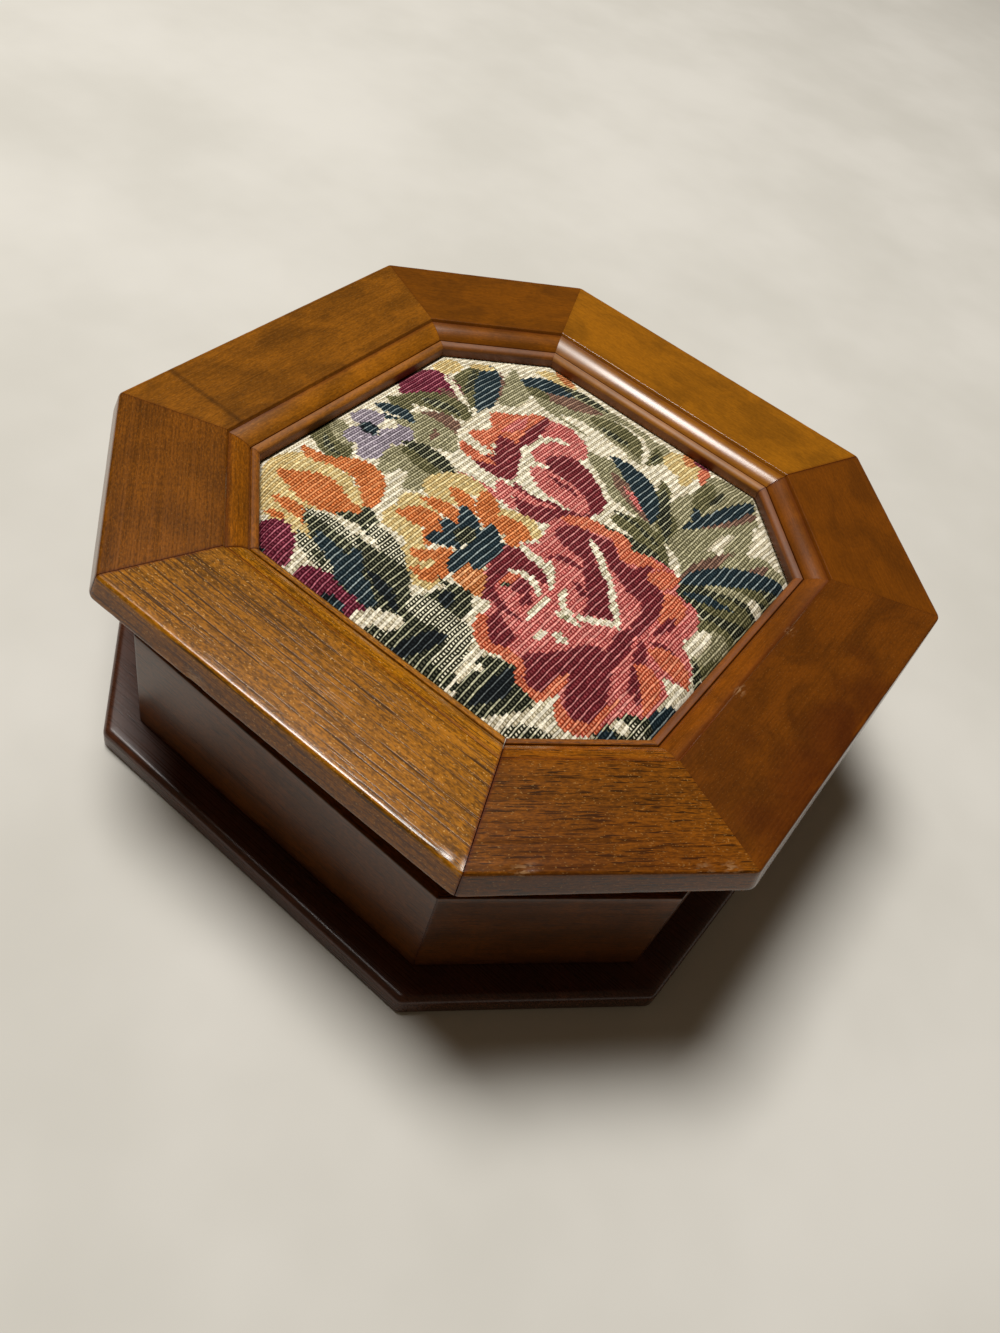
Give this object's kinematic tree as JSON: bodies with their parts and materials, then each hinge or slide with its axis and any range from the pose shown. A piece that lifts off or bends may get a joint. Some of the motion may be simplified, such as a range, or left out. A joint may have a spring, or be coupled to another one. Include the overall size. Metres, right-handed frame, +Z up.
{
  "type": "wooden jewelry box",
  "caption": "Eight-sided wooden jewelry box with a lift-off lid: mitred moulded rails around a padded floral tapestry panel, over mitred walls on a wider base.",
  "frame": {"origin": "centre of the underside of the base", "axes": "+Z up, +Y towards the back, +X to the right; the four long walls face along X and Y"},
  "size_m": [0.18, 0.18, 0.062],
  "materials": {
    "lid_wood": "honey to reddish brown stained hardwood, satin lacquer",
    "wall_wood": "brown stained hardwood, satin lacquer",
    "base_wood": "dark brown stained hardwood, satin lacquer",
    "board_wood": "plain sealed board",
    "tapestry": "woven floral tapestry, ribbed"
  },
  "bodies": {
    "root": {"base_plate": "base_wood", "wall_back": "wall_wood", "wall_back_left": "wall_wood", "wall_left": "wall_wood", "wall_front_left": "wall_wood", "wall_front": "wall_wood", "wall_front_right": "wall_wood", "wall_right": "wall_wood", "wall_back_right": "wall_wood", "lid_rail_back": "lid_wood", "lid_rail_back_left": "lid_wood", "lid_rail_left": "lid_wood", "lid_rail_front_left": "lid_wood", "lid_rail_front": "lid_wood", "lid_rail_front_right": "lid_wood", "lid_rail_right": "lid_wood", "lid_rail_back_right": "lid_wood", "tapestry_pad": "tapestry", "lid_board": "board_wood"}
  },
  "joints": []
}
